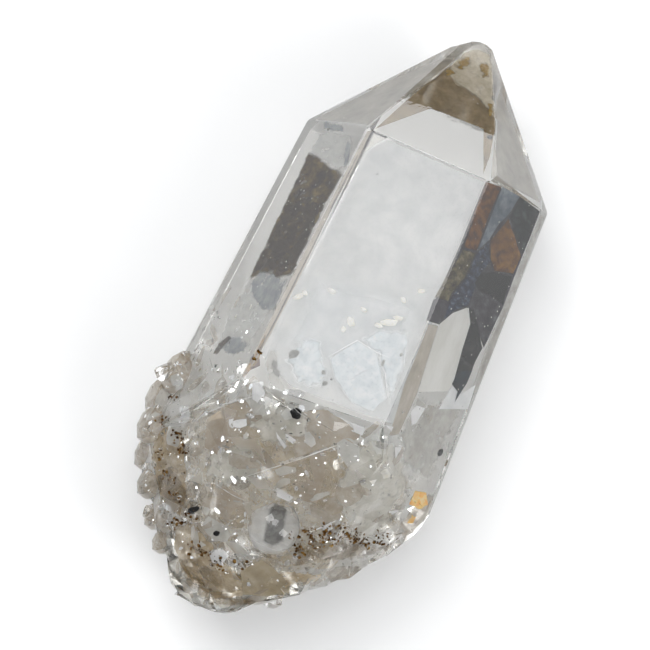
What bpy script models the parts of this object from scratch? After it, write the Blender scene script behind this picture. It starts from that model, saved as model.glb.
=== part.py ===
"""Clear quartz point, one natural crystal lying on a prism face.

The crystal is cut from a block by its own faces: six prism faces that widen towards the base,
six termination faces, a worn tip and the broken faces of the base.  The small crystals that
grew over the base are joined to it, so the whole is one solid.  It is shaped on its own axis
(+Y to the tip, +Z to the upper prism face) and then laid on its lower prism face.
"""
import math
import random

import bmesh
import bpy
from mathutils import Matrix, Vector
from mathutils.bvhtree import BVHTree

MM = 0.001

# Driving dimensions in millimetres, angles in degrees.
APOTHEM = 10.62             # axis to a prism face, at the shoulder where the termination starts
BLOCK_SIZE = 120.0          # rough block that the faces are cut from
TIP_WEAR_RADIUS = 2.1       # the tip is rubbed to a small round nose
TIP_WEAR_CENTRE = (0.05, 11.05, -0.2)
TIP_WEAR_RINGS = ((0, 1), (22, 6), (40, 10))    # lean from the axis, number of flats
EDGE_FACET_WIDTH = 0.55     # narrow facet along the upper left prism edge
EDGE_FACET_AZIMUTH = 120
EDGE_FACET_WIDENING = 0.058
LOWER_WIDENING = 0.030      # the face that the crystal lies on

# Prism faces: azimuth about the axis, widening towards the base in mm per mm.
PRISM_FACES = (
    (90, 0.060),
    (30, 0.043),
    (-30, 0.043),
    (-90, LOWER_WIDENING),
    (-150, 0.054),
    (150, 0.054),
)

# Termination faces: azimuth, height above the shoulder where it meets its prism face,
# angle between the face and the axis.
TERMINATION_FACES = (
    (90, -0.35, 38.2),
    (30, 0.55, 38.2),
    (-30, 0.75, 38.2),
    (-90, 1.4, 38.2),
    (-150, -0.55, 34.8),
    (150, -0.3, 34.8),
)

# Broken faces of the base: a point on the face and its outward direction.
BASE_BREAKS = (
    ((0.0, -25.6, 12.2), (0.04, -0.45, 0.89)),
    ((-8.0, -24.3, 12.0), (-0.645, -0.379, 0.663)),
    ((13.8, -30.2, 0.0), (0.76, -0.376, 0.531)),
    ((12.5, -33.3, 0.0), (0.818, -0.575, -0.10)),
    ((6.6, -40.3, 0.0), (0.64, -0.77, -0.15)),
    ((-3.0, -46.7, 0.0), (-0.05, -0.99, -0.16)),
    ((-8.9, -42.1, 0.0), (-0.76, -0.65, -0.12)),
    ((0.0, -38.5, -11.7), (0.05, -0.75, -0.66)),
)

# Lumps of crust under the small crystals, on the left edge: middle and half-sizes.
CRUST_LUMPS = (
    ((-13.4, -27.6, 0.6), (1.7, 2.2, 3.0)),
    ((-13.9, -30.2, -1.6), (1.9, 2.2, 3.2)),
    ((-13.6, -33.0, 0.2), (1.7, 2.0, 2.6)),
    ((-13.1, -35.4, -2.2), (1.5, 1.9, 2.4)),
    ((-11.6, -38.0, -0.6), (1.5, 1.7, 2.0)),
    ((-10.0, -40.6, -2.4), (1.3, 1.5, 1.8)),
    ((-8.3, -42.6, -0.6), (1.2, 1.3, 1.6)),
)

# A small rounded crystal on the base, clear as a dome: middle and half-sizes.
DOME_MIDDLE = (0.8, -37.3, 5.7)
DOME_HALF_SIZES = (2.45, 2.6, 2.1)

# Small crystals on the base.  Each patch: number, lowest and highest corner of the part of the
# surface that it covers, radius range, and how far the crystals stand out of the surface.
DRUSE_SEED = 11
DRUSE_HEART = (-3.0, -35.0, 0.0)    # directions from this point scatter them over the surface
DRUSE_SIDES = 6
DRUSE_CLEAR = 0.4                   # least height over the lower prism face
DRUSE_PATCHES = (
    (34, (-17.0, -34.0, -7.0), (-12.2, -24.6, 5.0), (0.7, 1.2), (0.25, 0.7)),
    (20, (-16.0, -39.0, -7.0), (-10.6, -34.0, 6.0), (0.7, 1.2), (0.2, 0.6)),
    (24, (-14.0, -48.0, -9.0), (-4.0, -39.0, 9.0), (0.8, 1.3), (0.2, 0.6)),
    (22, (-4.0, -49.0, -9.0), (10.0, -38.0, 8.0), (0.6, 1.0), (0.15, 0.4)),
    (14, (-9.0, -40.0, 5.0), (12.0, -28.0, 13.0), (0.6, 1.2), (0.15, 0.4)),
)


def face_direction(azimuth, forward):
    """Unit vector at an azimuth about the axis, leaning towards the tip by `forward`."""
    angle = math.radians(azimuth)
    sideways = math.sqrt(1.0 - forward * forward)
    return Vector((math.cos(angle) * sideways, forward, math.sin(angle) * sideways))


def cut(mesh, point, direction):
    """Remove what lies beyond a plane and close the mesh with a flat face."""
    geometry = mesh.verts[:] + mesh.edges[:] + mesh.faces[:]
    result = bmesh.ops.bisect_plane(
        mesh, geom=geometry, dist=1e-5, plane_co=point, plane_no=direction, clear_outer=True)
    rim = [item for item in result["geom_cut"] if isinstance(item, bmesh.types.BMEdge)]
    if rim:
        bmesh.ops.contextual_create(mesh, geom=rim)


def main_crystal():
    """Prism, edge facet, termination, worn tip and broken base, in millimetres."""
    mesh = bmesh.new()
    bmesh.ops.create_cube(mesh, size=BLOCK_SIZE)
    for azimuth, widening in PRISM_FACES:
        on_face = face_direction(azimuth, 0.0) * APOTHEM
        cut(mesh, on_face, face_direction(azimuth, math.sin(math.atan(widening))))
    for azimuth, start, slope in TERMINATION_FACES:
        on_face = face_direction(azimuth, 0.0) * APOTHEM + Vector((0.0, start, 0.0))
        cut(mesh, on_face, face_direction(azimuth, math.sin(math.radians(slope))))
    edge_depth = EDGE_FACET_WIDTH / 2.0 * math.tan(math.radians(30))
    edge_distance = APOTHEM / math.cos(math.radians(30)) - edge_depth
    on_edge = face_direction(EDGE_FACET_AZIMUTH, 0.0) * edge_distance
    cut(mesh, on_edge, face_direction(EDGE_FACET_AZIMUTH, EDGE_FACET_WIDENING))
    for point, direction in BASE_BREAKS:
        cut(mesh, Vector(point), Vector(direction).normalized())
    centre = Vector(TIP_WEAR_CENTRE)
    for lean, count in TIP_WEAR_RINGS:
        for step in range(count):
            azimuth = 360.0 * (step + 0.5) / count
            direction = face_direction(azimuth, math.cos(math.radians(lean)))
            cut(mesh, centre + direction * TIP_WEAR_RADIUS, direction)
    return mesh


def small_crystal(mesh, root, direction, radius, height, turn):
    """Add one small six-sided crystal: a short prism with a pointed end."""
    place = direction.to_track_quat("Z", "Y").to_matrix().to_4x4()
    place.translation = root
    place = place @ Matrix.Rotation(turn, 4, "Z")
    shoulder = height - radius * 0.9
    levels = ((0.0, radius), (shoulder, radius * 0.94))
    loops = []
    for level, level_radius in levels:
        loop = []
        for side in range(DRUSE_SIDES):
            angle = math.tau * side / DRUSE_SIDES
            corner = Vector((math.cos(angle) * level_radius, math.sin(angle) * level_radius, level))
            loop.append(mesh.verts.new(place @ corner))
        loops.append(loop)
    point = mesh.verts.new(place @ Vector((0.0, 0.0, height)))
    mesh.faces.new(list(reversed(loops[0])))
    for side in range(DRUSE_SIDES):
        after = (side + 1) % DRUSE_SIDES
        mesh.faces.new((loops[0][side], loops[0][after], loops[1][after], loops[1][side]))
        mesh.faces.new((loops[1][side], loops[1][after], point))


def crust_lumps():
    """Rounded lumps of crust on the left edge, one mesh for each."""
    lumps = []
    for middle, half_sizes in CRUST_LUMPS:
        mesh = bmesh.new()
        shape = Matrix.Translation(middle) @ Matrix.Diagonal((*half_sizes, 1.0))
        bmesh.ops.create_icosphere(mesh, subdivisions=2, radius=1.0, matrix=shape)
        lumps.append(mesh)
    return lumps


def dome():
    """The rounded crystal on the base."""
    mesh = bmesh.new()
    shape = Matrix.Translation(DOME_MIDDLE) @ Matrix.Diagonal((*DOME_HALF_SIZES, 1.0))
    bmesh.ops.create_icosphere(mesh, subdivisions=3, radius=1.0, matrix=shape)
    return mesh


def scattered_crystals(data, chance):
    """Small crystals rooted in the base of the main crystal, one mesh for each."""
    places = [vertex.co for vertex in data.vertices]
    surface = BVHTree.FromPolygons(places, [face.vertices[:] for face in data.polygons])
    heart = Vector(DRUSE_HEART)
    crystals = []
    for wanted, low, high, radii, standing in DRUSE_PATCHES:
        placed = 0
        while placed < wanted:
            ray = Vector([chance.gauss(0.0, 1.0) for _ in range(3)]).normalized()
            spot, normal, _, _ = surface.ray_cast(heart, ray)
            if any(spot[axis] < low[axis] or spot[axis] > high[axis] for axis in range(3)):
                continue
            radius = chance.uniform(*radii)
            proud = chance.uniform(*standing)
            lean = Vector([chance.gauss(0.0, 0.28) for _ in range(3)])
            direction = (normal + lean).normalized()
            height = proud + radius * 2.2
            root = spot - direction * (height - proud)
            lowest = min(root.z, (root + direction * height).z) - radius
            if lowest < -APOTHEM + LOWER_WIDENING * spot.y + DRUSE_CLEAR:
                continue
            mesh = bmesh.new()
            small_crystal(mesh, root, direction, radius, height, chance.uniform(0.0, math.tau))
            crystals.append(mesh)
            placed += 1
    return crystals


def as_object(mesh, name, collection):
    """Turn an edited mesh into an object in a collection."""
    data = bpy.data.meshes.new(name)
    mesh.to_mesh(data)
    mesh.free()
    item = bpy.data.objects.new(name, data)
    collection.objects.link(item)
    return item


def grow_together(crystal, growths, scene):
    """Join other growths to the main crystal as a single closed solid."""
    holder = bpy.data.collections.new("growths")
    scene.collection.children.link(holder)
    for number, mesh in enumerate(growths):
        as_object(mesh, f"growth_{number}", holder)
    union = crystal.modifiers.new("grown together", "BOOLEAN")
    union.operation = "UNION"
    union.operand_type = "COLLECTION"
    union.collection = holder
    union.solver = "EXACT"
    bpy.context.view_layer.objects.active = crystal
    bpy.ops.object.modifier_apply(modifier=union.name)
    for item in list(holder.objects):
        bpy.data.objects.remove(item, do_unlink=True)
    bpy.data.collections.remove(holder)


def lay_down(data):
    """Lay the crystal on its lower face, with the origin under the middle of its box."""
    settle = Matrix.Rotation(-math.atan(LOWER_WIDENING), 4, "X")
    data.transform(Matrix.Scale(MM, 4) @ settle)
    places = [vertex.co for vertex in data.vertices]
    low = Vector([min(place[axis] for place in places) for axis in range(3)])
    high = Vector([max(place[axis] for place in places) for axis in range(3)])
    middle = (low + high) / 2.0
    data.transform(Matrix.Translation((-middle.x, -middle.y, -low.z)))


def clear_quartz():
    """Colourless, glassy mineral."""
    material = bpy.data.materials.new("clear_quartz")
    material.use_nodes = True
    shader = material.node_tree.nodes["Principled BSDF"]
    shader.inputs["Base Color"].default_value = (0.86, 0.87, 0.86, 1.0)
    shader.inputs["Roughness"].default_value = 0.04
    shader.inputs["Metallic"].default_value = 0.0
    shader.inputs["IOR"].default_value = 1.544
    shader.inputs["Transmission Weight"].default_value = 1.0
    return material


def main():
    for item in list(bpy.data.objects):
        bpy.data.objects.remove(item, do_unlink=True)
    scene = bpy.context.scene
    crystal = as_object(main_crystal(), "quartz_point", scene.collection)
    grow_together(crystal, crust_lumps(), scene)
    small_crystals = scattered_crystals(crystal.data, random.Random(DRUSE_SEED))
    grow_together(crystal, small_crystals + [dome()], scene)
    lay_down(crystal.data)
    crystal.data.materials.append(clear_quartz())


main()
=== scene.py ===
import math
import random
import bpy
from mathutils import Matrix, Vector
from mathutils.bvhtree import BVHTree


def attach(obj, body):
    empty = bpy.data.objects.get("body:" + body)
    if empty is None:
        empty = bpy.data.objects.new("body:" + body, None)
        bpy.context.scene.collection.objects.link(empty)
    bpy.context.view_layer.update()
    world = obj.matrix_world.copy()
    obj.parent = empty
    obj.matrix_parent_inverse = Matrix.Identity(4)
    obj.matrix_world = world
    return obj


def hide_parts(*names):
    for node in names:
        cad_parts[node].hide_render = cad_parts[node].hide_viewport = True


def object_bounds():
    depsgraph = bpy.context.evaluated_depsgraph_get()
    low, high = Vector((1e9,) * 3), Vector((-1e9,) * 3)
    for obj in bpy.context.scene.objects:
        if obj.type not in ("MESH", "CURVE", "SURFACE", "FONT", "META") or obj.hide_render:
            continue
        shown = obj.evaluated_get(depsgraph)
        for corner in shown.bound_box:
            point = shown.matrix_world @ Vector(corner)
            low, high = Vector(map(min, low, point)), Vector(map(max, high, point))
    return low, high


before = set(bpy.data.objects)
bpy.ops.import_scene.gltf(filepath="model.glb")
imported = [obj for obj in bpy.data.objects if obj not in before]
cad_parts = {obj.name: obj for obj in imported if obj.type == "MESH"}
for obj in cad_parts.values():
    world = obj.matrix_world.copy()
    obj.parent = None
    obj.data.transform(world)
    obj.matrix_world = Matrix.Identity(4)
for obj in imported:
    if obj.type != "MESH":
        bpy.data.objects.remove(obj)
cad_low, cad_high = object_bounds()

# The crystal: one six-sided prism of rock crystal with a six-faced point, broken off its rock.
# It is cleft out of a block along its growth faces and its breaks, in millimetres about its own
# axis, with +Y to the point and +Z to the upper prism face.
BLOCK = 120.0
APOTHEM = 10.62
LOWER_WIDENING = 0.030
PRISM_FACES = {  # azimuth, and widening towards the base
    "upper": (90, 0.060), "right": (30, 0.043), "lower right": (-30, 0.043),
    "lower": (-90, LOWER_WIDENING), "lower left": (-150, 0.054), "left": (150, 0.054)}
POINT_FACES = {  # azimuth, where it starts along the axis, and slope
    "point": (90, -0.35, 38.2), "point right": (30, 0.55, 38.2), "point lower right": (-30, 0.75, 38.2),
    "point lower": (-90, 1.4, 38.2), "point lower left": (-150, -0.55, 34.8), "point left": (150, -0.3, 34.8)}
WORN_EDGE = (120, 12.103, 0.058)  # azimuth, distance and lean
BASE_BREAKS = {  # a place on the break, and the way it faces
    "base": ((0.0, -25.6, 12.2), (0.04, -0.45, 0.89)),
    "base left": ((-8.0, -24.3, 12.0), (-0.645, -0.379, 0.663)),
    "base right": ((13.8, -30.2, 0.0), (0.76, -0.376, 0.531)),
    "right flank": ((12.5, -33.3, 0.0), (0.818, -0.575, -0.10)),
    "right end": ((6.6, -40.3, 0.0), (0.64, -0.77, -0.15)),
    "end": ((-3.0, -46.7, 0.0), (-0.05, -0.99, -0.16)),
    "left end": ((-8.9, -42.1, 0.0), (-0.76, -0.65, -0.12)),
    "underside": ((0.0, -38.5, -11.7), (0.05, -0.75, -0.66))}
NOSE_RADIUS = 2.1
NOSE_CENTRE = Vector((0.05, 11.05, -0.2))
NOSE_RINGS = ((0, 1), (22, 6), (40, 10))  # lean from the axis, and number of facets


def pick(*pieces):
    """Leave edit mode and select these pieces alone, with the first one active."""
    if bpy.context.mode != "OBJECT":
        bpy.ops.object.mode_set(mode="OBJECT")
    bpy.ops.object.select_all(action="DESELECT")
    for piece in pieces:
        piece.select_set(True)
    if pieces:
        bpy.context.view_layer.objects.active = pieces[0]


def edit(kind="VERT", everything=True):
    """Enter edit mode by corners, edges or faces, with all of them selected or only those marked."""
    bpy.ops.object.mode_set(mode="EDIT")
    bpy.ops.mesh.select_mode(type=kind)
    if everything:
        bpy.ops.mesh.select_all(action="SELECT")


def about_axis(azimuth, forward):
    """Unit direction at an azimuth about the crystal's axis, leaning to the point."""
    angle = math.radians(azimuth)
    sideways = math.sqrt(1.0 - forward * forward)
    return Vector((math.cos(angle) * sideways, forward, math.sin(angle) * sideways))


def cleave(point, direction):
    """Cleave the mesh being edited along a plane and close it with a flat face."""
    bpy.ops.mesh.select_all(action="SELECT")
    bpy.ops.mesh.bisect(
        plane_co=point, plane_no=direction, use_fill=True, clear_outer=True, threshold=1e-5)


def skin_of(piece):
    """Search tree of a piece's surface."""
    places = [corner.co.copy() for corner in piece.data.vertices]
    return BVHTree.FromPolygons(places, [face.vertices[:] for face in piece.data.polygons])


FACES = {}
for name, (azimuth, widening) in PRISM_FACES.items():
    FACES[name] = (about_axis(azimuth, 0.0) * APOTHEM, about_axis(azimuth, math.sin(math.atan(widening))))
for name, (azimuth, start, slope) in POINT_FACES.items():
    foot = about_axis(azimuth, 0.0) * APOTHEM + Vector((0.0, start, 0.0))
    FACES[name] = (foot, about_axis(azimuth, math.sin(math.radians(slope))))
azimuth, distance, lean = WORN_EDGE
FACES["edge"] = (about_axis(azimuth, 0.0) * distance, about_axis(azimuth, lean))
for name, (point, direction) in BASE_BREAKS.items():
    FACES[name] = (Vector(point), Vector(direction).normalized())
pick()
bpy.ops.mesh.primitive_cube_add(size=BLOCK)
crystal = bpy.context.object
crystal.name = "quartz_crystal"
bpy.ops.object.mode_set(mode="EDIT")
for point, direction in FACES.values():
    cleave(point, direction)
for lean, count in NOSE_RINGS:
    for step in range(count):
        direction = about_axis(360.0 * (step + 0.5) / count, math.cos(math.radians(lean)))
        cleave(NOSE_CENTRE + direction * NOSE_RADIUS, direction)

# The edges between the growth faces: very slightly rubbed in the ground and in the hand, so each
# is a narrow bevel that catches the light as a thin line.
RUBBED_WIDTH = 0.028
RUBBED_FROM, RUBBED_TO = -20.0, 10.5

pick(crystal)
for corner in crystal.data.vertices:
    corner.select = False
for edge in crystal.data.edges:
    edge.select = RUBBED_FROM < max(crystal.data.vertices[corner].co.y for corner in edge.vertices) < RUBBED_TO
edit("EDGE", False)
bpy.ops.mesh.bevel(offset=RUBBED_WIDTH, segments=1, affect="EDGES")
bpy.ops.mesh.select_all(action="DESELECT")

# The base broke off its rock in many small shell-shaped chips: its faces are divided until no
# edge is longer than a chip, and the corners are then moved in and out.
CHIP_SIZES = (6.0, 4.2, 3.0, 2.2)
CHIP_DEPTH = 0.34
BASE_TOP = -22.0


def pick_breaks():
    """Enter edit mode with only the broken faces of the base selected."""
    pick(crystal)
    ways = [FACES[name][1] for name in BASE_BREAKS]
    for part in (*crystal.data.vertices, *crystal.data.edges):
        part.select = False
    for face in crystal.data.polygons:
        face.select = face.center.y < BASE_TOP and any(face.normal.dot(way) > 0.999 for way in ways)
    edit("FACE", False)
    bpy.ops.mesh.quads_convert_to_tris(quad_method="SHORTEST_DIAGONAL", ngon_method="BEAUTY")


for longest in CHIP_SIZES:
    pick_breaks()
    bpy.ops.object.mode_set(mode="OBJECT")
    wanted = set()
    for face in crystal.data.polygons:
        for key in face.edge_keys if face.select else ():
            start, end = (crystal.data.vertices[corner].co for corner in key)
            if (start - end).length > longest:
                wanted.add(key)
    for part in (*crystal.data.polygons, *crystal.data.vertices):
        part.select = False
    for edge in crystal.data.edges:
        edge.select = edge.key in wanted
    edit("EDGE", False)
    bpy.ops.mesh.subdivide(number_cuts=1)
pick_breaks()
bpy.ops.mesh.select_mode(type="VERT")
bpy.ops.transform.vertex_random(offset=CHIP_DEPTH, normal=1.0, seed=3)

# The crust: small quartz crystals that grew over the base on rounded lumps of the same quartz,
# and one clear dome. One small crystal and one lump are modelled, copied, turned and grown
# together with the big crystal into a single body.
CRUST_LUMPS = (
    ((-13.4, -27.6, 0.6), (1.7, 2.2, 3.0)),
    ((-13.9, -30.2, -1.6), (1.9, 2.2, 3.2)),
    ((-13.6, -33.0, 0.2), (1.7, 2.0, 2.6)),
    ((-13.1, -35.4, -2.2), (1.5, 1.9, 2.4)),
    ((-11.6, -38.0, -0.6), (1.5, 1.7, 2.0)),
    ((-10.0, -40.6, -2.4), (1.3, 1.5, 1.8)),
    ((-8.3, -42.6, -0.6), (1.2, 1.3, 1.6)))
CRUST_PATCHES = (  # how many, the patch's two corners, radii, and how far they stand out
    (34, (-17.0, -34.0, -7.0), (-12.2, -24.6, 5.0), (0.7, 1.2), (0.25, 0.7)),
    (20, (-16.0, -39.0, -7.0), (-10.6, -34.0, 6.0), (0.7, 1.2), (0.2, 0.6)),
    (24, (-14.0, -48.0, -9.0), (-4.0, -39.0, 9.0), (0.8, 1.3), (0.2, 0.6)),
    (22, (-4.0, -49.0, -9.0), (10.0, -38.0, 8.0), (0.6, 1.0), (0.15, 0.4)),
    (14, (-9.0, -40.0, 5.0), (12.0, -28.0, 13.0), (0.6, 1.2), (0.15, 0.4)),
    (40, (-17.0, -41.0, -3.0), (-10.5, -24.6, 7.0), (0.3, 0.7), (0.15, 0.5)),
    (40, (-14.0, -48.0, -3.0), (-2.0, -37.0, 10.0), (0.3, 0.8), (0.1, 0.4)),
    (30, (-4.0, -49.0, -3.0), (10.0, -36.0, 9.0), (0.3, 0.7), (0.1, 0.35)))
DOME, DOME_HALF_SIZES = (0.8, -37.3, 5.7), (2.45, 2.6, 2.1)
HEART = Vector((-3.0, -35.0, 0.0))
SHAFT, TIP, TIP_ASIDE, TAPER = 1.3, 0.9, (0.10, 0.06), 0.94  # of a small crystal with a radius of 1
CRUST_LEAN = 0.28
ABOVE_FLOOR = 0.4


def spot_on(skin, heart, low, high, chance):
    """A place on the surface inside a box, and the surface's direction there."""
    for _ in range(4000):
        ray = Vector([chance.gauss(0.0, 1.0) for _ in range(3)]).normalized()
        spot, normal, _, _ = skin.ray_cast(heart, ray)
        if spot and all(low[axis] <= spot[axis] <= high[axis] for axis in range(3)):
            return spot, normal if normal.dot(ray) > 0.0 else -normal
    raise RuntimeError("no surface in that part of the base")


def copy_of(pattern, place):
    """A copy of a piece with its own mesh, at its own place."""
    data = pattern.data.copy()
    data.transform(place)
    piece = bpy.data.objects.new(pattern.name, data)
    bpy.context.scene.collection.objects.link(piece)
    return piece


def placed_at(middle, turn, half_sizes):
    """The move of a pattern to its middle, stretched to its half sizes and then turned."""
    return Matrix.Translation(middle) @ turn @ Matrix.Diagonal((*half_sizes, 1.0))


def grow_together(body, pieces):
    """Join pieces to the body as one closed shape, and remove them."""
    holder = bpy.data.collections.new("pieces")
    for piece in pieces:
        holder.objects.link(piece)
    pick(body)
    union = body.modifiers.new("grown_together", "BOOLEAN")
    union.operation = "UNION"
    union.operand_type = "COLLECTION"
    union.collection = holder
    union.solver = "EXACT"
    bpy.ops.object.modifier_apply(modifier=union.name)
    bpy.data.collections.remove(holder)
    for piece in pieces:
        bpy.data.objects.remove(piece, do_unlink=True)


def rough_ball(name, unevenness, seed):
    """A coarse ball of radius 1 with uneven sides."""
    pick()
    bpy.ops.mesh.primitive_ico_sphere_add(subdivisions=2, radius=1.0)
    bpy.context.object.name = name
    edit()
    bpy.ops.transform.vertex_random(offset=unevenness, normal=1.0, seed=seed)
    pick()
    return bpy.context.object


pick()
bpy.ops.mesh.primitive_cylinder_add(vertices=6, radius=1.0, depth=SHAFT, location=(0.0, 0.0, SHAFT / 2.0))
small_crystal = bpy.context.object
bpy.ops.object.mode_set(mode="EDIT")
bpy.ops.mesh.select_all(action="DESELECT")
bpy.ops.object.mode_set(mode="OBJECT")
for face in small_crystal.data.polygons:
    face.select = face.normal.z > 0.9
edit("FACE", False)
bpy.ops.transform.resize(value=(TAPER, TAPER, 1.0))
bpy.ops.mesh.extrude_region_move(TRANSFORM_OT_translate={"value": (*TIP_ASIDE, TIP)})
bpy.ops.transform.resize(value=(0.001, 0.001, 1.0))
bpy.ops.mesh.select_all(action="SELECT")
bpy.ops.mesh.remove_doubles(threshold=0.01)
bpy.ops.mesh.normals_make_consistent(inside=False)
lump = rough_ball("lump", 0.16, 4)
bpy.ops.mesh.primitive_ico_sphere_add(subdivisions=4, radius=1.0)
dome = bpy.context.object
grow_together(crystal, [
    copy_of(lump, placed_at(middle, Matrix(), half_sizes)) for middle, half_sizes in CRUST_LUMPS])
chance = random.Random(11)
crust = []
skin = skin_of(crystal)
for wanted, low, high, radii, standing in CRUST_PATCHES:
    wanted += len(crust)
    while len(crust) < wanted:
        spot, normal = spot_on(skin, HEART, low, high, chance)
        radius = chance.uniform(*radii)
        proud = chance.uniform(*standing)
        lean = Vector([chance.gauss(0.0, CRUST_LEAN) for _ in range(3)])
        direction = (normal + lean).normalized()
        height = proud + radius * (SHAFT + TIP)
        root = spot - direction * (height - proud)
        lowest = min(root.z, (root + direction * height).z) - radius
        if lowest < -APOTHEM + LOWER_WIDENING * spot.y + ABOVE_FLOOR:
            continue
        turn = direction.to_track_quat("Z", "Y").to_matrix().to_4x4()
        turn = turn @ Matrix.Rotation(chance.uniform(0.0, math.tau), 4, "Z")
        crust.append(copy_of(small_crystal, placed_at(root, turn, (radius, radius, height / (SHAFT + TIP)))))
grow_together(crystal, crust + [copy_of(dome, placed_at(DOME, Matrix(), DOME_HALF_SIZES))])
for pattern in (small_crystal, lump, dome):
    bpy.data.objects.remove(pattern, do_unlink=True)

# Old cracks inside the base: thin gaps with nothing in them, which mirror the light like facets.
# One gap is modelled and copied; its faces point into the gap, because they are the quartz's
# own outer faces there.
CRACKS, CRACK_TRIES = 70, 1600
CRACK_LOW, CRACK_HIGH = (-9.5, -43.0, -5.0), (10.0, -24.5, 9.0)
CRACK_WIDTH = 0.02
CRACK_LEAST, CRACK_MORE = 0.25, 1.4  # radius of the smallest, and how much more the largest has
CRACK_LEAN, CRACK_SPREAD = 0.9, 0.315
CRACK_APART = 1.4  # of their radii
CRACK_COVER = 0.35


def thin_patch(sides, unevenness, seed):
    """A flat patch of radius 1 with uneven sides, being edited."""
    pick()
    bpy.ops.mesh.primitive_circle_add(vertices=sides, radius=1.0, fill_type="NGON")
    edit()
    bpy.ops.transform.vertex_random(offset=unevenness, normal=0.0, seed=seed)
    bpy.ops.transform.resize(value=(1.0, 1.0, 0.0))
    return bpy.context.object


gap = thin_patch(7, 0.35, 9)
edit("FACE")
bpy.ops.mesh.extrude_region_move(TRANSFORM_OT_translate={"value": (0.0, 0.0, CRACK_WIDTH)})
bpy.ops.mesh.select_all(action="SELECT")
bpy.ops.mesh.normals_make_consistent(inside=True)
pick()
chance = random.Random(17)
skin = skin_of(crystal)
gaps, taken = [], []
for _ in range(CRACK_TRIES):
    if len(gaps) == CRACKS:
        break
    middle = Vector([chance.uniform(low, high) for low, high in zip(CRACK_LOW, CRACK_HIGH)])
    size = CRACK_LEAST + CRACK_MORE * chance.random() ** 2
    steep = chance.gauss(CRACK_LEAN, CRACK_SPREAD)
    turn = Matrix.Rotation(chance.uniform(0.0, math.tau), 4, "Z") @ Matrix.Rotation(steep, 4, "X")
    place = placed_at(middle, turn, (size, size * chance.uniform(0.4, 1.0), 1.0))
    free = all((middle - other).length > CRACK_APART * (size + reach) for other, reach in taken)
    for corner in [place @ corner.co for corner in gap.data.vertices] + [middle]:
        near, normal, _, distance = skin.find_nearest(corner)
        free = free and distance > CRACK_COVER and (corner - near).dot(normal) < 0.0
    if free:
        taken.append((middle, size))
        gaps.append(copy_of(gap, place))
pick(crystal, *gaps)
bpy.ops.object.join()
pick()
bpy.data.objects.remove(gap, do_unlink=True)

# The crystal laid down on its lower prism face, in metres, with its nose and its underside where
# the CAD body has them; any corner that would stand out of the CAD body's box is drawn back to it.
MM = 0.001
ASIDE = 0.0012056
SMOOTH_BELOW = math.radians(12)
SETTLE = Matrix.Scale(MM, 4) @ Matrix.Rotation(-math.atan(LOWER_WIDENING), 4, "X")
laid = [SETTLE @ corner.co for corner in crystal.data.vertices]
LAY_DOWN = Matrix.Translation((
    ASIDE, cad_high.y - max(place.y for place in laid), cad_low.z - min(place.z for place in laid))) @ SETTLE
crystal.data.transform(LAY_DOWN)
for corner in crystal.data.vertices:
    corner.co = [min(max(corner.co[axis], cad_low[axis]), cad_high[axis]) for axis in range(3)]
pick(crystal)
bpy.ops.object.shade_smooth_by_angle(angle=SMOOTH_BELOW)
pick()
skin = skin_of(crystal)


def linear(hex_colour):
    """An sRGB hex colour as linear red, green, blue and 1."""
    parts = [int(hex_colour[i:i + 2], 16) / 255.0 for i in (0, 2, 4)]
    return tuple(c / 12.92 if c <= 0.04045 else ((c + 0.055) / 1.055) ** 2.4 for c in parts) + (1.0,)


def node(tree, kind, settings=None, links=None):
    """Add a node, set its attributes and inputs, and link what feeds it: sockets, or nodes' first outputs."""
    item = tree.nodes.new("ShaderNode" + kind)
    for name, value in (settings or {}).items():
        if isinstance(name, str) and hasattr(item, name):
            setattr(item, name, value)
        else:
            item.inputs[name].default_value = value
    for name, source in (links or {}).items():
        tree.links.new(source.outputs[0] if hasattr(source, "outputs") else source, item.inputs[name])
    return item


def material_of(name):
    """A new material with its node tree and its surface shader."""
    material = bpy.data.materials.new(name)
    material.use_nodes = True
    return material, material.node_tree, material.node_tree.nodes["Principled BSDF"]


# Rock crystal: water-clear, bent and mirrored light at quartz's own index, with a faint warmth
# deep inside. The growth faces are glossy with barely felt ripples, the nose is frosted by wear,
# and the broken base is dulled in patches, all but its dome, and rough at its back.
rock_crystal, tree, shader = material_of("rock_crystal")
shader.inputs["Base Color"].default_value = (1.0, 1.0, 1.0, 1.0)
shader.inputs["IOR"].default_value = 1.544
shader.inputs["Transmission Weight"].default_value = 1.0
place = node(tree, "TexCoord").outputs["Object"]
along = node(tree, "SeparateXYZ", {}, {0: place}).outputs["Y"]
frost = node(tree, "MapRange", {"From Min": 0.0262, "From Max": 0.0292, "To Max": 0.22}, {"Value": along})
base = node(tree, "MapRange", {"From Min": -0.0085, "From Max": -0.0120}, {"Value": along})
dull = node(tree, "TexNoise", {"Scale": 1.0 / (1.5 * MM), "Detail": 4.0}, {"Vector": place})
worn = node(tree, "MapRange", {"From Min": 0.38, "From Max": 0.66, "To Min": 0.02, "To Max": 0.20}, {"Value": dull})
off_dome = node(tree, "VectorMath", {"operation": "DISTANCE", 1: LAY_DOWN @ Vector(DOME)}, {0: place})
round_dome = node(tree, "MapRange", {
    "From Min": 2.5 * MM, "From Max": 2.9 * MM}, {"Value": off_dome.outputs["Value"]})
patchy = node(tree, "Math", {"operation": "MULTIPLY"}, {0: base, 1: worn})
patchy = node(tree, "Math", {"operation": "MULTIPLY"}, {0: patchy, 1: round_dome})
facing = node(tree, "SeparateXYZ", {}, {0: node(tree, "NewGeometry").outputs["Normal"]}).outputs["Y"]
back = node(tree, "MapRange", {"From Min": -0.50, "From Max": -0.70, "To Max": 0.30}, {"Value": facing})
rough_back = node(tree, "Math", {"operation": "MULTIPLY"}, {0: base, 1: back})
dullness = node(tree, "Math", {"operation": "MAXIMUM"}, {0: frost, 1: patchy})
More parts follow.
